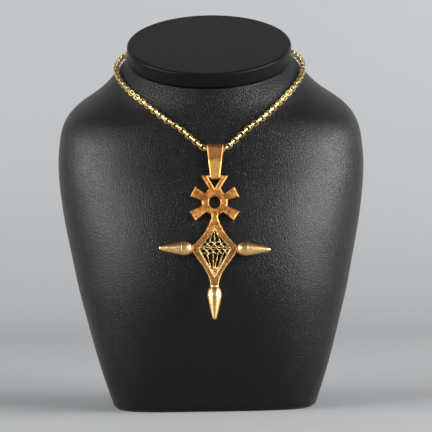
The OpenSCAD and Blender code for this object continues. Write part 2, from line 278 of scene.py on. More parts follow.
def put(piece, placement):
    """Moves a finished shape to its place and leaves its object at the origin."""
    piece.matrix_world = placement
    work_on(piece)
    bpy.ops.object.transform_apply(location=True, rotation=True, scale=True)
    return piece


def smooth(piece, angle):
    work_on(piece)
    bpy.ops.object.shade_smooth_by_angle(angle=math.radians(angle))
    return piece


def dress(piece, body, slot, *materials):
    piece.data.materials.clear()
    for material in materials:
        piece.data.materials.append(material)
    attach(piece, body)
    return piece


# Camera, floor and lights

def aimed(place, target):
    """A placement at place that looks at target and stays upright."""
    turn = (Vector(target) - Vector(place)).to_track_quat("-Z", "Y").to_matrix().to_4x4()
    return Matrix.Translation(place) @ turn


def make_camera():
    data = bpy.data.cameras.new("camera")
    data.lens = CAMERA_LENS
    data.sensor_width = 36
    data.clip_start = 0.05
    data.clip_end = 20
    camera = bpy.data.objects.new("camera", data)
    bpy.context.scene.collection.objects.link(camera)
    roll = Matrix.Rotation(math.radians(CAMERA_ROLL), 4, "Z")
    camera.matrix_world = aimed(Vector(CAMERA_PLACE) * MM, Vector(CAMERA_TARGET) * MM) @ roll
    bpy.context.scene.camera = camera


def make_light(name, place, target, width, height, power):
    data = bpy.data.lights.new(name, "AREA")
    data.shape = "RECTANGLE"
    data.size = width
    data.size_y = height
    data.energy = power
    light = bpy.data.objects.new(name, data)
    bpy.context.scene.collection.objects.link(light)
    light.matrix_world = aimed(place, target)


def make_stage():
    """A floor that turns up into a wall behind the bust in one round bend."""
    deselect()
    bpy.ops.mesh.primitive_plane_add(size=FLOOR_SIZE, location=(0, WALL_Y - FLOOR_SIZE / 2, 0))
    floor = added("floor")

    def at_back(vertex):
        return vertex.co.y > FLOOR_SIZE / 2 - 0.1

    select_where(floor, "EDGE", lambda e: all(at_back(v) for v in e.verts))
    bpy.ops.mesh.extrude_region_move(TRANSFORM_OT_translate={"value": (0, 0, WALL_H)})
    done(floor)
    select_where(floor, "EDGE",
                 lambda e: all(at_back(v) and abs(v.co.z) < 0.01 for v in e.verts))
    bpy.ops.mesh.bevel(offset=WALL_ROUND, segments=24, affect="EDGES")
    done(floor)
    put(floor, floor.matrix_world.copy())
    smooth(floor, 60)
    floor.data.materials.append(paper())


def make_world():
    world = bpy.data.worlds.new("studio")
    bpy.context.scene.world = world
    world.use_nodes = True
    back = world.node_tree.nodes["Background"]
    back.inputs["Color"].default_value = ROOM_COLOUR
    back.inputs["Strength"].default_value = ROOM_LIGHT
    bpy.context.scene.view_settings.view_transform = "Standard"


# Finishes

def new_group(name, inputs, outputs):
    group = bpy.data.node_groups.new(name, "ShaderNodeTree")
    for label, kind, value in inputs:
        socket = group.interface.new_socket(name=label, in_out="INPUT", socket_type=kind)
        if value is not None:
            socket.default_value = value
    for label, kind in outputs:
        group.interface.new_socket(name=label, in_out="OUTPUT", socket_type=kind)
    return group, group.nodes.new("NodeGroupInput"), group.nodes.new("NodeGroupOutput")


def node(tree, kind, **values):
    made = tree.nodes.new(kind)
    for key, value in values.items():
        setattr(made, key, value)
    return made


def connect(tree, start, end):
    tree.links.new(start, end)


def feed(tree, socket, value):
    """Gives a socket a plain value, or what another socket puts out."""
    if isinstance(value, bpy.types.NodeSocket):
        connect(tree, value, socket)
    else:
        socket.default_value = value


def math_node(tree, operation, *values):
    made = node(tree, "ShaderNodeMath", operation=operation)
    for socket, value in zip(made.inputs, values):
        feed(tree, socket, value)
    return made.outputs[0]


def spread(tree, value, low, high, to_low=0.0, to_high=1.0):
    made = node(tree, "ShaderNodeMapRange", interpolation_type="SMOOTHSTEP")
    connect(tree, value, made.inputs["Value"])
    made.inputs["From Min"].default_value = low
    made.inputs["From Max"].default_value = high
    made.inputs["To Min"].default_value = to_low
    made.inputs["To Max"].default_value = to_high
    return made.outputs["Result"]


def scaled(tree, coordinates, size):
    """Coordinates counted in steps of a size in millimetres, which may be a socket."""
    per_metre = math_node(tree, "DIVIDE", 1 / MM, size)
    made = node(tree, "ShaderNodeVectorMath", operation="SCALE")
    connect(tree, coordinates, made.inputs[0])
    connect(tree, per_metre, made.inputs["Scale"])
    return made.outputs[0]


def noise(tree, vector, scale=1.0, detail=2.0, rough=0.5):
    made = node(tree, "ShaderNodeTexNoise")
    made.inputs["Scale"].default_value = scale
    made.inputs["Detail"].default_value = detail
    made.inputs["Roughness"].default_value = rough
    connect(tree, vector, made.inputs["Vector"])
    return made


def mixed(tree, factor, first, second):
    """A colour between two, by a factor. The sockets are those for colours."""
    made = node(tree, "ShaderNodeMix", data_type="RGBA")
    for place, value in ((0, factor), (6, first), (7, second)):
        feed(tree, made.inputs[place], value)
    return made.outputs[2]


def make_leather_grain():
    """Rounded cells parted by fine creases, with fine pores on them."""
    group, start, end = new_group(
        "leather_grain",
        [("Coordinates", "NodeSocketVector", None), ("Cell Size", "NodeSocketFloat", 1.2),
         ("Pore Size", "NodeSocketFloat", 0.35)],
        [("Height", "NodeSocketFloat"), ("Crease Shade", "NodeSocketFloat"), ("Tone", "NodeSocketFloat")],
    )
    surface = start.outputs["Coordinates"]
    cells = scaled(group, surface, start.outputs["Cell Size"])
    wander = noise(group, cells, scale=0.8)
    moved = node(group, "ShaderNodeVectorMath", operation="MULTIPLY_ADD")
    connect(group, wander.outputs[1], moved.inputs[0])
    moved.inputs[1].default_value = (0.7, 0.7, 0.7)
    connect(group, cells, moved.inputs[2])
    voronoi = node(group, "ShaderNodeTexVoronoi", feature="DISTANCE_TO_EDGE")
    voronoi.inputs["Scale"].default_value = 1
    connect(group, moved.outputs[0], voronoi.inputs["Vector"])
    from_edge = voronoi.outputs["Distance"]
    dome = spread(group, from_edge, 0.0, 0.32)
    pores = noise(group, scaled(group, surface, start.outputs["Pore Size"]))
    height = math_node(group, "MULTIPLY_ADD", pores.outputs[0], 0.25, dome)
    connect(group, height, end.inputs["Height"])
    # The crease mask: where the leather's colour is darkened as painted shade.
    connect(group, spread(group, from_edge, 0.0, 0.16, 1.0, 0.0), end.inputs["Crease Shade"])
    broad = noise(group, cells, scale=0.05)
    connect(group, broad.outputs[0], end.inputs["Tone"])
    return group


def make_metal_grain():
    """Fine pits, fine scratches and broad blotches of worked metal."""
    group, start, end = new_group(
        "metal_grain",
        [("Coordinates", "NodeSocketVector", None), ("Grain Size", "NodeSocketFloat", 0.25),
         ("Blotch Size", "NodeSocketFloat", 4.0)],
        [("Height", "NodeSocketFloat"), ("Pits", "NodeSocketFloat"), ("Blotch", "NodeSocketFloat")],
    )
    surface = start.outputs["Coordinates"]
    grain = noise(group, scaled(group, surface, start.outputs["Grain Size"]), detail=3, rough=0.6)
    connect(group, grain.outputs[0], end.inputs["Height"])
    connect(group, spread(group, grain.outputs[0], 0.32, 0.5, 1.0, 0.0), end.inputs["Pits"])
    blotch = noise(group, scaled(group, surface, start.outputs["Blotch Size"]), detail=3,
                   rough=0.55)
    connect(group, spread(group, blotch.outputs[0], 0.35, 0.65), end.inputs["Blotch"])
    return group


def new_material(name, group, sizes):
    """A material with one grain group on Object coordinates.

    Gives the material, its tree, its shader, its grain node and its coordinates node.
    """
    material = bpy.data.materials.new(name)
    material.use_nodes = True
    tree = material.node_tree
    shader = tree.nodes["Principled BSDF"]
    place = node(tree, "ShaderNodeTexCoord")
    grain = node(tree, "ShaderNodeGroup", node_tree=group)
    connect(tree, place.outputs["Object"], grain.inputs["Coordinates"])
    for label, value in sizes.items():
        grain.inputs[label].default_value = value
    return material, tree, shader, grain, place


def bumped(tree, shader, height, depth):
    bump = node(tree, "ShaderNodeBump")
    bump.inputs["Distance"].default_value = depth * MM
    bump.inputs["Strength"].default_value = 1
    connect(tree, height, bump.inputs["Height"])
    connect(tree, bump.outputs["Normal"], shader.inputs["Normal"])


def darker(colour, share):
    return tuple(share * c for c in colour[:3]) + (1,)


def leatherette(group, name, dark, light, cell, pore, depth, roughness, shine):
    """Leatherette: broad clouds of tone, creases darkened as painted shade, and domes that shine
    more than the gaps.
    """
    material, tree, shader, grain, _ = new_material(
        name, group, {"Cell Size": cell, "Pore Size": pore})
    low, high = roughness
    tone = mixed(tree, grain.outputs["Tone"], dark, light)
    # Painted shade: the creases are darkened to under half of the dark tone.
    crease_shaded = mixed(tree, grain.outputs["Crease Shade"], tone, darker(dark, 0.45))
    connect(tree, crease_shaded, shader.inputs["Base Color"])
    connect(tree, spread(tree, grain.outputs["Height"], 0.1, 1.1, high, low),
            shader.inputs["Roughness"])
    bumped(tree, shader, grain.outputs["Height"], depth)
    shader.inputs["Specular IOR Level"].default_value = shine
    return material


def gold(group, name, colour, deep, grain_size, blotch_size, depth, roughness, upper=None,
         metallic=1):
    """Gold alloy: its colour deepens in pits and blotches, and the pits are rougher.

    upper gives a second pair of colours above a height: ((from, to), colour, deep).
    """
    material, tree, shader, grain, place = new_material(
        name, group, {"Grain Size": grain_size, "Blotch Size": blotch_size})
    shader.inputs["Metallic"].default_value = metallic
    smoothest, roughest = roughness
    pit = darker(deep, 0.35)
    if upper:
        fade, upper_colour, upper_deep = upper
        low, high = (height * MM for height in fade)
        parts = node(tree, "ShaderNodeSeparateXYZ")
        connect(tree, place.outputs["Object"], parts.inputs[0])
        wander = math_node(tree, "MULTIPLY_ADD", grain.outputs["Blotch"], 0.5 * (high - low),
                           parts.outputs["Z"])
        share = spread(tree, wander, low, high)
        colour = mixed(tree, share, colour, upper_colour)
        deep = mixed(tree, share, deep, upper_deep)
    blotched = mixed(tree, grain.outputs["Blotch"], colour, deep)
    pitted = mixed(tree, math_node(tree, "MULTIPLY", grain.outputs["Pits"], 0.6), blotched, pit)
    connect(tree, pitted, shader.inputs["Base Color"])
    connect(tree, spread(tree, grain.outputs["Height"], 0.3, 0.7, roughest, smoothest),
            shader.inputs["Roughness"])
    bumped(tree, shader, grain.outputs["Height"], depth)
    return material


def paper():
    """Matt paper, clear from behind, so that the wall hides nothing in the other views."""
    material = bpy.data.materials.new("pale_paper")
    material.use_nodes = True
    tree = material.node_tree
    shader = tree.nodes["Principled BSDF"]
    shader.inputs["Base Color"].default_value = PAPER_COLOUR
    shader.inputs["Roughness"].default_value = 0.85
    side = node(tree, "ShaderNodeNewGeometry")
    clear = node(tree, "ShaderNodeBsdfTransparent")
    mix = node(tree, "ShaderNodeMixShader")
    connect(tree, side.outputs["Backfacing"], mix.inputs[0])
    connect(tree, shader.outputs[0], mix.inputs[1])
    connect(tree, clear.outputs[0], mix.inputs[2])
    connect(tree, mix.outputs[0], tree.nodes["Material Output"].inputs["Surface"])
    return material


def make_finishes():
    hide = make_leather_grain()
    metal = make_metal_grain()
    return {
        "leather": leatherette(
            hide, "black_leatherette", (0.003, 0.003, 0.003, 1), (0.005, 0.005, 0.005, 1),
            cell=1.0, pore=0.38, depth=0.08, roughness=(0.28, 0.42), shine=0.25),
        "cap_leather": leatherette(
            hide, "black_cap_leatherette", (0.006, 0.006, 0.0065, 1), (0.008, 0.008, 0.0085, 1),
            cell=0.7, pore=0.3, depth=0.02, roughness=(0.26, 0.34), shine=0.05),
        "plate": gold(
            metal, "copper_gold_face", (0.4, 0.21, 0.065, 1), (0.24, 0.115, 0.04, 1),
            grain_size=0.4, blotch_size=1.8, depth=0.14, roughness=(0.3, 0.5),
            upper=(PLATE_FADE, (0.78, 0.36, 0.1, 1), (0.34, 0.13, 0.03, 1))),
        # Pale polished gold of the worn edges, and partly a painted highlight: being only partly
        # metallic, its pale colour shows as a bright outline whatever the light.
        "edge": gold(
            metal, "polished_edge_painted_highlight", (1.0, 0.84, 0.52, 1), (0.95, 0.72, 0.38, 1),
            grain_size=0.35, blotch_size=5, depth=0.012, roughness=(0.2, 0.3), metallic=0.6),
        # Painted shade: a darker gold for the walls of the holes and the inner side of the bail's
        # strap, where shade falls.
        "recess_shade": gold(
            metal, "inner_gold_painted_shade", (0.42, 0.19, 0.07, 1), (0.25, 0.1, 0.04, 1),
            grain_size=0.3, blotch_size=2.5, depth=0.05, roughness=(0.35, 0.55)),
        "wire": gold(
            metal, "filigree_gold", (0.66, 0.46, 0.2, 1), (0.44, 0.28, 0.11, 1),
            grain_size=0.2, blotch_size=1.6, depth=0.02, roughness=(0.24, 0.38)),
        "spindle": gold(
            metal, "polished_spindle_gold", (0.88, 0.6, 0.28, 1), (0.8, 0.46, 0.17, 1),
            grain_size=0.3, blotch_size=4, depth=0.01, roughness=(0.27, 0.36)),
        "bail": gold(
            metal, "brushed_bail_gold", (0.78, 0.44, 0.14, 1), (0.62, 0.3, 0.08, 1),
            grain_size=0.35, blotch_size=3, depth=0.05, roughness=(0.4, 0.55),
            upper=(BAIL_FADE, (0.42, 0.19, 0.06, 1), (0.3, 0.11, 0.035, 1))),
        "chain": gold(
            metal, "pale_chain_gold", (0.86, 0.66, 0.3, 1), (0.76, 0.53, 0.21, 1),
            grain_size=0.3, blotch_size=8, depth=0.01, roughness=(0.24, 0.34)),
    }


# Bust and cap

def opened_copy(node_name, name):
    """A copy of a CAD node with its doubles merged, left in edit mode with all selected."""
    piece = copied(frame["nodes"][node_name], name)
    piece.parent = None
    for key in list(piece.keys()):
        del piece[key]
    edit_all(piece)
    bpy.ops.mesh.remove_doubles(threshold=CAD_MERGE * MM)
    return piece


def make_bust(finish):
    bust = opened_copy("bust_body", "bust_skin")
    bpy.ops.mesh.tris_convert_to_quads(
        face_threshold=math.radians(40), shape_threshold=math.radians(60))
    bpy.ops.mesh.dissolve_limited(angle_limit=math.radians(0.05))
    done(bust)
    select_where(bust, "EDGE", lambda e: e.calc_face_angle(0) > math.radians(32))
    bpy.ops.transform.edge_crease(value=1)
    done(bust)
    applied(bust, "SUBSURF", levels=2, render_levels=2)
    smooth(bust, 40)
    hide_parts("bust_body")
    return dress(bust, "stand", "leatherette", finish["leather"])


def make_cap(finish):
    deselect()
    bpy.ops.mesh.primitive_cylinder_add(vertices=CAP_SIDES, radius=CAP_R * MM, depth=CAP_T * MM)
    cap = added("cap_skin")
    select_where(cap, "EDGE", lambda e: abs(e.verts[0].co.z - e.verts[1].co.z) < 1e-7)
    bpy.ops.mesh.bevel(offset=CAP_ROUND * MM, segments=8, affect="EDGES")
    done(cap)
    select_where(cap, "FACE", lambda f: f.normal.z > 0.99 and len(f.verts) > 20)
    for width in CAP_RINGS:
        bpy.ops.mesh.inset(thickness=width * MM)
    done(cap)
    smooth(cap, 40)
    tilt = Matrix.Rotation(math.radians(CAP_SLANT), 4, "X")
    lift = Matrix.Translation((0, 0, (CAP_GAP + CAP_T / 2) * MM))
    put(cap, Matrix.Translation((0, 0, NECK_TOP * MM)) @ tilt @ lift)
    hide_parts("neck_cap")
    return dress(cap, "stand", "cap_leatherette", finish["cap_leather"])


# Chain

def main_axes(points):
    """The long, middle and short directions of a cloud of points, as columns."""
    _, vectors = np.linalg.eigh(np.cov(np.array([p[:] for p in points]).T))
    long, middle = Vector(vectors[:, 2]), Vector(vectors[:, 1])
    short = long.cross(middle)
    return Matrix((long, middle, short)).transposed()


def link_placements(node_name):
    """Where each link of a chain node is, with X along it and Z across its flat side."""
    links = opened_copy(node_name, "links")
    bpy.ops.mesh.separate(type="LOOSE")
    done(links)
    parts = list(bpy.context.selected_objects)
    placements = []
    for part in parts:
        points = [v.co.copy() for v in part.data.vertices]
        mean = sum(points, Vector()) / len(points)
        low = Vector([min(p[k] for p in points) for k in range(3)])
        high = Vector([max(p[k] for p in points) for k in range(3)])
        placement = main_axes([p - mean for p in points]).to_4x4()
        placement.translation = (low + high) / 2
        placements.append(placement)
    for part in parts:
        bpy.data.objects.remove(part)
    return placements


def make_link():
    """An oval link: a ring whose two halves are moved apart along X."""
    deselect()
    bend = (LINK_W - LINK_WIRE) / 2
    bpy.ops.mesh.primitive_torus_add(
        major_segments=LINK_SIDES, minor_segments=LINK_WIRE_SIDES,
        major_radius=bend * MM, minor_radius=LINK_WIRE / 2 * MM)
    link = added("link")
    link.data.transform(Matrix.Rotation(math.radians(180 / LINK_SIDES), 4, "Z"))
    half = (LINK_L - LINK_W) / 2
    for side in (-1, 1):
        select_where(link, "VERT", lambda v: v.co.x * side > 0)
        bpy.ops.transform.translate(value=(side * half * MM, 0, 0))
        done(link)
    return link


def make_chain(node_name, name, finish):
    link = make_link()
    links = []
    for placement in link_placements(node_name):
        one = copied(link, "one_link")
        one.data.transform(placement)
        links.append(one)
    bpy.data.objects.remove(link)
    chain = joined(links, name)
    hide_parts(node_name)
    return dress(chain, "stand", "chain_gold", finish["chain"])


def dress_clasp(finish):
    clasp = frame["nodes"]["clasp"]
    clasp.data.materials.clear()
    clasp.data.materials.append(finish["chain"])


# Blanks with drawn outlines

def arc(middle, radius, start, end, count):
    """Points on an arc, by angles in degrees from the across direction."""
    angles = [math.radians(start + (end - start) * i / count) for i in range(count + 1)]
    return [(middle[0] + radius * math.cos(a), middle[1] + radius * math.sin(a)) for a in angles]


def ring(middle, radius, sides):
    return arc(middle, radius, 0, 360 - 360 / sides, sides - 1)


def turned(points, degrees, middle):
    c, s = math.cos(math.radians(degrees)), math.sin(math.radians(degrees))
    return [(middle[0] + x * c - y * s, middle[1] + x * s + y * c) for x, y in points]


def mirrored(points):
    return [(-x, y) for x, y in points]


def hollow_edge(start, end, sag, late=1):
    """Points from start to end, hollow by sag to the right of the way.

    The deepest place is in the middle, or nearer to the end where late is over 1.
    """
    across, rise = end[0] - start[0], end[1] - start[1]
    length = math.hypot(across, rise)
    side = (rise / length, -across / length)
    points = []
    for i in range(13):
        t = i / 12
        off = 4 * sag * t ** late * (1 - t ** late)
        points.append((start[0] + across * t + side[0] * off,
                       start[1] + rise * t + side[1] * off))
    return points


def blank(name, outline, thickness, facing="front"):
    """A flat blank. Its outline is (across, up), seen from the front or from the left side."""
    deselect()
    bpy.ops.mesh.primitive_circle_add(vertices=len(outline), radius=1, fill_type="NGON")
    piece = added(name)
    half = thickness / 2
    for vertex, (across, up) in zip(piece.data.vertices, outline):
        place = (across, half, up) if facing == "front" else (-half, -across, up)
        vertex.co = Vector(place)
    step = (0, -thickness, 0) if facing == "front" else (thickness, 0, 0)
    edit_all(piece)
    bpy.ops.mesh.extrude_region_move(TRANSFORM_OT_translate={"value": step})
    bpy.ops.mesh.select_all(action="SELECT")
    bpy.ops.mesh.normals_make_consistent(inside=False)
    return done(piece)


def cleaned(piece):
    edit_all(piece)
    bpy.ops.mesh.remove_doubles(threshold=PLATE_MERGE)
    bpy.ops.mesh.dissolve_limited(angle_limit=math.radians(0.5))
    return done(piece)


def parted(piece):
    """Parts the flats along a line through the hole, so that no face has a hole in it."""
    edit_all(piece)
    bpy.ops.mesh.bisect(plane_co=(PARTING_X, 0, 0), plane_no=(1, 0, 0))
    return done(piece)


def bevelled(piece, width, segments, test):
    select_where(piece, "EDGE", test)
    bpy.ops.mesh.bevel(offset=width, offset_type="OFFSET", segments=segments, affect="EDGES")
    return done(piece)


def painted(piece, choose):
    """Gives each face the number of its material."""
    for face in piece.data.polygons:
        face.material_index = choose(face)
    return piece


# Bail

def drop_outline(r_top, r_low):
    """The side view of the strap's outer or inner side: two round folds and the straight ways."""
    tilt = math.degrees(math.asin((r_top - r_low) / BAIL_DROP))
    return (arc((0, 0), r_top, -tilt, 180 + tilt, BAIL_TOP_SIDES)
            + arc((0, -BAIL_DROP), r_low, 180 + tilt, 360 - tilt, BAIL_LOW_SIDES))


def from_core(place):
    """The direction away from the strap's middle plane between its folds."""
    up = min(max(place.z, -BAIL_DROP), 0)
    return Vector((0, place.y, place.z - up))


def make_bail(finish, placement):
    """A strap bent round two folds, bevelled along its outer edges and narrowing downwards."""
    outer = BAIL_IN + BAIL_T
    low = BAIL_FOLD_IN + BAIL_T
    bail = blank("bail_strap", drop_outline(outer, low), BAIL_TOP_W + 1, "side")
    hole = blank("hole", drop_outline(BAIL_IN, BAIL_FOLD_IN), BAIL_TOP_W + 3, "side")
    combined(bail, hole, "DIFFERENCE")
    foot = -BAIL_DROP - low
    taper = blank("taper", [(-BAIL_TOP_W / 2, outer), (BAIL_TOP_W / 2, outer),
                            (BAIL_LOW_W / 2, foot), (-BAIL_LOW_W / 2, foot)], TAPER_T)
    taper.data.transform(Matrix.Scale(TAPER_SWELL, 4))
    combined(bail, taper, "INTERSECT")
    cleaned(bail)

    def faces_out(normal, place):
        return normal.dot(from_core(place)) > 0

    def outer_rim(edge):
        sides = [f for f in edge.link_faces if abs(f.normal.x) > 0.9]
        walls = [f for f in edge.link_faces if abs(f.normal.x) < 0.5]
        if len(sides) != 1 or len(walls) != 1:
            return False
        return faces_out(walls[0].normal, walls[0].calc_center_median())

    bevelled(bail, BAIL_BEVEL, 1, outer_rim)

    def finish_of(face):
        # The sides and chamfers get the pale edge gold, partly a painted highlight.
        if abs(face.normal.x) > 0.08:
            return EDGE
        # The strap's inner side gets the darker inner gold, painted shade.
        return FACE if faces_out(face.normal, face.center) else RECESS_SHADE

    painted(bail, finish_of)
    smooth(put(bail, placement @ SMALL), 32)
    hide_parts("bail")
    return dress(bail, "bail", "bail_gold", finish["bail"], finish["edge"], finish["recess_shade"])


# Cross

def arm_outline(reach):
    root = HUB_W / 2 - HUB_OVERLAP
    flare = []
    for i in range(7):
        t = i / 6
        flare.append((root + (reach - root) * t,
                      (ARM_ROOT + (ARM_END - ARM_ROOT) * t ** ARM_FLARE) / 2))
    inner = HUB_HOLE / 2 + HUB_OVERLAP
    return ([(inner, -ARM_ROOT / 2)] + [(x, -y) for x, y in flare]
            + [(x, y) for x, y in reversed(flare)] + [(inner, ARM_ROOT / 2)])


def both_sides(right):
    """A closed outline from its right half, taken from one end to the other."""
    return right + mirrored(reversed(right))


def window_outline(inset=0.0):
    """The diamond window's four corners: top, right, foot and left."""
    window_x = DIAMOND_W / 2 - FRAME_W
    up, low = SIDE_DROP - WINDOW_TOP, WINDOW_FOOT - SIDE_DROP
    a = inset * math.hypot(window_x, up) / window_x
    b = inset * math.hypot(window_x, low) / window_x
    x = window_x * (1 - (a + b) / (up + low))
    y = -WINDOW_TOP - a - up * x / window_x
    return [(0, -WINDOW_TOP - a), (x, y), (0, -WINDOW_FOOT + b), (-x, y)]


def inside_hole(place):
    """Whether a place of the plate is at the wall of the hub's hole or of the window."""
    near_hub = math.hypot(place.x, place.z + HUB_DROP) < HUB_HOLE / 2 + 0.1
    in_window = -WINDOW_FOOT - 0.1 < place.z < -WINDOW_TOP + 0.1 and (
        abs(place.x) < 0.02 + (DIAMOND_W / 2 - FRAME_W) * min(
            (-WINDOW_TOP - place.z) / (SIDE_DROP - WINDOW_TOP),
            (place.z + WINDOW_FOOT) / (WINDOW_FOOT - SIDE_DROP)))
    return near_hub or in_window


def make_plate(finish, placement):
    """The flat pierced plate: hanging loop, hub with four arms, and diamond frame.

    Its parts are joined while each has a thickness of its own, and then cut to one.
    """
    hub = (0, -HUB_DROP)
    plate = blank("cross_plate", ring(hub, HUB_W / 2, HUB_SIDES), PLATE_T + HUB_EXTRA)

    def add(name, outline, extra):
        combined(plate, blank(name, outline, PLATE_T + extra), "UNION")

    arms = ((UPPER_ARM, UPPER_ANGLE), (LOWER_ARM, LOWER_ANGLE))
    for (reach, angle), (right_extra, left_extra) in zip(arms, ARM_EXTRAS):
        outline = turned(arm_outline(reach), angle, hub)
        add("arm", outline, right_extra)
        add("arm", mirrored(outline), left_extra)
    corner = LOOP_ROOT_SHARE * HUB_W
    loop = [(LOOP_W / 2, BAR_D / 2), (LOOP_FOOT_W / 2, -LOOP_H), (corner, -HUB_DROP + corner)]
    add("loop", both_sides(loop), LOOP_EXTRA)
    half_cut = SIDE_CUT / 2
    right = (
        [(WAIST_W / 2 + 0.3, -HUB_DROP - HUB_W / 2 + HUB_OVERLAP)]
        + hollow_edge((WAIST_W / 2, -NECK_DROP), (DIAMOND_W / 2, -SIDE_DROP + half_cut),
                      UPPER_HOLLOW)
        + hollow_edge((DIAMOND_W / 2, -SIDE_DROP - half_cut), (FOOT_W / 2, -FOOT_DROP),
                      LOWER_HOLLOW, FOOT_HOLLOW)
    )
    add("diamond", both_sides(right), DIAMOND_EXTRA)
    top, foot = 5, -FOOT_DROP - 5
    slab = [(-DIAMOND_W, top), (DIAMOND_W, top), (DIAMOND_W, foot), (-DIAMOND_W, foot)]
    combined(plate, blank("slab", slab, PLATE_T), "INTERSECT")
    cleaned(plate)
    parted(plate)
    eye = [(-EYE_W / 2, BAR_D), (EYE_W / 2, BAR_D), (EYE_W / 2, -BAR_D / 2), (0, -LOOP_H),
           (-EYE_W / 2, -BAR_D / 2)]
    for name, outline in (("eye", eye), ("hole", ring(hub, HUB_HOLE / 2, HOLE_SIDES)),
                          ("window", window_outline())):
        combined(plate, blank(name, outline, 3 * PLATE_T), "DIFFERENCE")

    def rim(edge):
        flats = [f for f in edge.link_faces if abs(f.normal.y) > 0.9]
        walls = [f for f in edge.link_faces if abs(f.normal.y) < 0.1]
        return len(flats) == 1 and len(walls) == 1

    def middle(edge):
        return (edge.verts[0].co + edge.verts[1].co) / 2

    bevelled(plate, HOLE_BEVEL, 1, lambda e: rim(e) and inside_hole(middle(e)))
    bevelled(plate, RIM_BEVEL, 2, lambda e: rim(e) and not inside_hole(middle(e)))

    def finish_of(face):
        if abs(face.normal.y) > 0.97:
            return FACE
        in_eye = abs(face.center.x) < EYE_W / 2 + 0.1 and -LOOP_H < face.center.z < 1
        # The walls of the eye, the hub's hole and the window get the darker inner gold, painted
        # shade.
        if abs(face.normal.y) < 0.1 and (in_eye or inside_hole(face.center)):
            return RECESS_SHADE
        # The outer walls and bevels get the pale edge gold, partly a painted highlight.
        return EDGE

    painted(plate, finish_of)
    smooth(put(plate, placement @ SMALL), 20)
    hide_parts("cross")
    return dress(plate, "cross", "cross_gold", finish["plate"], finish["edge"], finish["recess_shade"])


def make_loop_bar(finish, placement):
    deselect()
    bpy.ops.mesh.primitive_cylinder_add(
        vertices=32, radius=BAR_D / 2, depth=EYE_W + 2 * BAR_OVERLAP,
        rotation=(0, math.pi / 2, 0))
    bar = added("loop_bar")
    put(bar, bar.matrix_world.copy())
    bevelled(bar, 0.1, 2, lambda e: any(abs(f.normal.x) >= 0.9 for f in e.link_faces))
    smooth(put(bar, placement @ SMALL), 40)
    return dress(bar, "cross", "cross_gold", finish["edge"])


def spindle_stations():
    """(distance from the root, radius) of the turned form: collar, dome, ridge and point."""
    collar = [(0, SPINDLE_NECK_R), (0.12, SPINDLE_NECK_R + 0.16), (0.5, SPINDLE_NECK_R + 0.2),
              (0.66, SPINDLE_NECK_R + 0.06)]
    start, root = collar[-1]
    dome = []
    for i in range(1, SPINDLE_STEPS + 1):
        a = math.pi / 2 * i / SPINDLE_STEPS
        along = 0.2 * i / SPINDLE_STEPS + 0.8 * (1 - math.cos(a))
        dome.append((start + (SPINDLE_DOME - start) * along,
                     root + (SPINDLE_R - root) * math.sin(a)))
    ridge = [(SPINDLE_DOME + 0.12, SPINDLE_R - 0.02), (SPINDLE_DOME + 0.22, SPINDLE_R - 0.12)]
    start, wide = ridge[-1]
    length = SPINDLE_L - 0.35 - start
    cone = []
    for i in range(1, SPINDLE_STEPS + 1):
        t = i / SPINDLE_STEPS
        cone.append((start + length * i / SPINDLE_STEPS,
                     wide + (SPINDLE_TIP_R - wide) * t ** SPINDLE_CONE))
    tip = [(SPINDLE_L - 0.12, SPINDLE_TIP_R * 0.84), (SPINDLE_L - 0.02, SPINDLE_TIP_R * 0.55),
           (SPINDLE_L, SPINDLE_TIP_R * 0.2)]
    return collar + dome + ridge + cone + tip


def make_spindle():
    """A turned spindle along +Z, with a small collar, a domed shoulder and a long blunt point."""
    deselect()
    stations = spindle_stations()
    last_z, last_r = stations[0]
    bpy.ops.mesh.primitive_circle_add(
        vertices=SPINDLE_SIDES, radius=last_r * MM, fill_type="NGON")
    spindle = added("spindle")
    edit_all(spindle)
    for z, r in stations[1:]:
        bpy.ops.mesh.extrude_region_move(
            TRANSFORM_OT_translate={"value": (0, 0, (z - last_z) * MM)})
        bpy.ops.transform.resize(value=(r / last_r, r / last_r, 1), center_override=(0, 0, 0))
        last_z, last_r = z, r
    bpy.ops.mesh.select_all(action="SELECT")
    bpy.ops.mesh.normals_make_consistent(inside=False)
    done(spindle)
    return smooth(spindle, 24)


def make_spindles(finish, placement):
    """Three copies of the turned spindle, each on its own root."""
    model = make_spindle()
    # name, (across, up) of the root, turn in degrees, axis of the turn
    for name, (across, up), turn, axis in (
        ("spindle_left", (-DIAMOND_W / 2, -SIDE_DROP), -90, "Y"),
        ("spindle_right", (DIAMOND_W / 2, -SIDE_DROP), 90, "Y"),
        ("spindle_foot", (0, -FOOT_DROP), 180, "X"),
    ):
        root = Matrix.Translation((across * MM, 0, up * MM))
        tilt = Matrix.Rotation(math.radians(SPINDLE_TILT[name]), 4, "Y")
        way = Matrix.Rotation(math.radians(turn), 4, axis)
        spindle = put(copied(model, name), placement @ root @ tilt @ way)
        dress(spindle, "cross", "cross_gold", finish["spindle"])
    bpy.data.objects.remove(model)


# Filigree. Places are (across, down) from the bar at the cross's top.

# Rows of eyes: the eyes' middles, first end, last end, drop
EYE_ROWS = (
    ((-5.2, -1.8, 1.6, 4.9), -7.2, 6.9, UPPER_ROW_DROP),
    ((-5.7, -2.3, 0.95, 3.95, 6.5), -7.3, 7.7, LOWER_ROW_DROP),
)

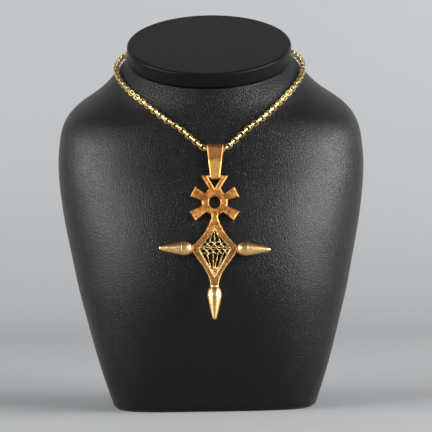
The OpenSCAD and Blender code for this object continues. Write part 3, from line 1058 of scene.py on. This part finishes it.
# Fan wires, one to a row, as the places that each passes
FANS = (
    ((-0.75, 27.8), (-1.45, 28.9), (-2.0, 31.5), (-2.45, 33.6)),
    ((-0.1, 27.6), (-0.2, 29), (-0.05, 31.3), (0.0, 33.7)),
    ((0.5, 27.8), (0.98, 28.6), (1.95, 31), (2.9, 33.6)),
    ((-3.9, 39.4), (-3.3, 41.6), (-2.6, 44), (-1.7, 46.6), (-0.9, 49.6)),
    ((-0.75, 39.3), (-0.8, 42), (-0.7, 44.2), (-0.5, 46.6), (-0.25, 51)),
    ((1.75, 39.3), (1.3, 41.6), (0.7, 44), (0.2, 46.6), (0.0, 50.6)),
    ((4.3, 39.2), (3.6, 41.4), (2.75, 43.8), (1.8, 46.4), (0.75, 49.6)),
    ((-2.3, 45.8), (-1.5, 47.6), (-0.5, 50.6)),
    ((2.5, 45.4), (1.5, 47.8), (0.35, 50.8)),
    ((0.9, 46.4), (0.5, 48.4), (0.1, 51.2)),
)

# Grains of solder: across, down, radius
SOLDER = (
    (-0.7, 27.75, 0.42), (0.05, 26.75, 0.4), (0.75, 27.5, 0.3), (-3.5, 34.9, 0.3),
    (-0.1, 34.6, 0.34), (3.3, 34.8, 0.3), (-4.0, 38.2, 0.3), (-0.7, 38.9, 0.36),
    (2.45, 38.2, 0.3), (5.25, 38.0, 0.34), (-3.2, 39.8, 0.36), (-2.3, 45.9, 0.4),
    (-0.2, 51.2, 0.45), (7.6, 36.6, 0.32), (-7.6, 36.6, 0.32),
)
SOLDER_PLANE = -0.42
SOLDER_FORM = (1, 0.7, 0.9)


def even_steps(points, step):
    """The same line again, in even steps."""
    lengths = [0.0]
    for a, b in zip(points, points[1:]):
        lengths.append(lengths[-1] + (b - a).length)
    count = max(2, round(lengths[-1] / step))
    result, k = [], 0
    for i in range(count + 1):
        s = lengths[-1] * i / count
        while k < len(points) - 2 and lengths[k + 1] < s:
            k += 1
        t = (s - lengths[k]) / max(lengths[k + 1] - lengths[k], 1e-9)
        result.append(points[k].lerp(points[k + 1], min(t, 1)))
    return result


def twisted_pair(points, width, phase=0.0):
    """Two strands wound round each other along a line of (across, depth, up) points."""
    line = even_steps(points, TWIST_PITCH / TWIST_STEPS)
    radius = width / 4
    strands = []
    for half_turn in (0, math.pi):
        strand = []
        for i, place in enumerate(line):
            ahead = line[min(i + 1, len(line) - 1)] - line[max(i - 1, 0)]
            side = Vector((ahead.z, 0, -ahead.x)).normalized()
            turn = 2 * math.pi * i / TWIST_STEPS + half_turn + phase
            strand.append(place + side * radius * math.cos(turn)
                          + Vector((0, radius * math.sin(turn), 0)))
        strands.append((strand, radius * STRAND_SWELL))
    return strands


def flat_line(*places):
    return [Vector((across, WIRE_PLANE, -down)) for across, down in places]


def wave(centres, first, last, row_drop, sign, depth):
    """A wavy wire over and under the eyes of a row, with a crossing between two eyes."""
    crossings = [first] + [(a + b) / 2 for a, b in zip(centres, centres[1:])] + [last]
    points = []
    for k, (low, high) in enumerate(zip(crossings, crossings[1:])):
        way = sign if k % 2 == 0 else -sign
        for i in range(1 if k else 0, EYE_STEPS + 1):
            t = i / EYE_STEPS
            lift = EYE_REACH * math.sin(math.pi * t) ** EYE_FULLNESS
            points.append(Vector((low + (high - low) * t, depth, -row_drop + way * lift)))
    return points


def wire_runs():
    """Every wire of the filigree, as strands of (points, radius)."""
    top, right, foot, left = window_outline(BORDER_INSET)
    sides = ((top, right), (top, left), (left, foot), (right, foot))
    runs = []
    for ends, width in zip(sides, BORDER_WIDTHS):
        runs.append(([Vector((x, BORDER_PLANE, y)) for x, y in ends], width / 2))
    left_end, right_end = BAR_ROW_ENDS
    bar = flat_line((left_end, BAR_ROW_DROP), (right_end, BAR_ROW_DROP - BAR_ROW_RISE))
    runs += twisted_pair(bar, BAR_WIRE_W)
    for centres, first, last, drop in EYE_ROWS:
        for sign in (1, -1):
            depth = WIRE_PLANE - sign * ROW_APART
            line = wave(centres, first, last, drop, sign, depth)
            runs += twisted_pair(line, WIRE_W * 0.86, sign)
    for k, places in enumerate(FANS):
        runs += twisted_pair(flat_line(*places), WIRE_W, k)
    return runs


def make_wires(finish, placement):
    data = bpy.data.curves.new("filigree_wires", "CURVE")
    data.dimensions = "3D"
    data.bevel_mode = "ROUND"
    data.bevel_depth = 1
    data.bevel_resolution = 1
    data.use_fill_caps = True
    for points, radius in wire_runs():
        spline = data.splines.new("POLY")
        spline.points.add(len(points) - 1)
        for point, place in zip(spline.points, points):
            point.co = (*place, 1)
            point.radius = radius
    wires = bpy.data.objects.new("filigree_wires", data)
    bpy.context.scene.collection.objects.link(wires)
    work_on(wires)
    bpy.ops.object.convert(target="MESH")
    wires = bpy.context.object
    edit_all(wires)
    bpy.ops.mesh.remove_doubles(threshold=WIRE_MERGE)
    bpy.ops.mesh.normals_make_consistent(inside=False)
    done(wires)
    smooth(put(wires, placement @ SMALL), 50)
    return dress(wires, "cross", "cross_gold", finish["wire"])


def make_filigree_back(finish, placement):
    """The solid bunch behind the wires' feet."""
    bunch = [(-2.6, -45.6), (0, -WINDOW_FOOT - 0.3), (2.6, -45.6), (0, -46.4)]
    back = blank("filigree_back", bunch, 0.5)
    back.data.transform(Matrix.Translation((0, 0.1, 0)))
    bevelled(back, 0.08, 1, lambda e: True)
    smooth(put(back, placement @ SMALL), 32)
    return dress(back, "cross", "cross_gold", finish["plate"])


def make_solder(finish, placement):
    grains = []
    for across, down, radius in SOLDER:
        deselect()
        bpy.ops.mesh.primitive_ico_sphere_add(
            subdivisions=3, radius=radius * MM, scale=SOLDER_FORM,
            location=(across * MM, SOLDER_PLANE * MM, -down * MM))
        grain = added("grain")
        grains.append(put(grain, grain.matrix_world.copy()))
    grains = joined(grains, "solder_grains")
    smooth(put(grains, placement), 80)
    return dress(grains, "cross", "cross_gold", finish["edge"])


# The whole part

def hanging_place():
    """Where the bail and the cross hang. Each has X along its joint's axis and Z up the strap."""
    joints = {joint["name"]: joint for joint in frame["joints"]}
    bail_axis = Vector(joints["bail_swing"]["pos_m"])
    bar_axis = Vector(joints["cross_swing"]["pos_m"])
    across = -Vector(joints["cross_swing"]["axis"]).normalized()
    way = bail_axis - bar_axis
    up = (way - across * way.dot(across)).normalized()
    turn = Matrix((across, up.cross(across), up)).transposed().to_4x4()
    return Matrix.Translation(bail_axis) @ turn, Matrix.Translation(bar_axis) @ turn


make_camera()
finish = make_finishes()
make_stage()
make_world()
for name, place, target, width, height, power in LIGHTS:
    make_light(name, place, target, width, height, power)

bail_place, cross_place = hanging_place()
make_bust(finish)
make_cap(finish)
make_chain("chain_left", "chain_links_left", finish)
make_chain("chain_right", "chain_links_right", finish)
dress_clasp(finish)
make_bail(finish, bail_place)
make_plate(finish, cross_place)
make_loop_bar(finish, cross_place)
make_spindles(finish, cross_place)
make_wires(finish, cross_place)
make_filigree_back(finish, cross_place)
make_solder(finish, cross_place)
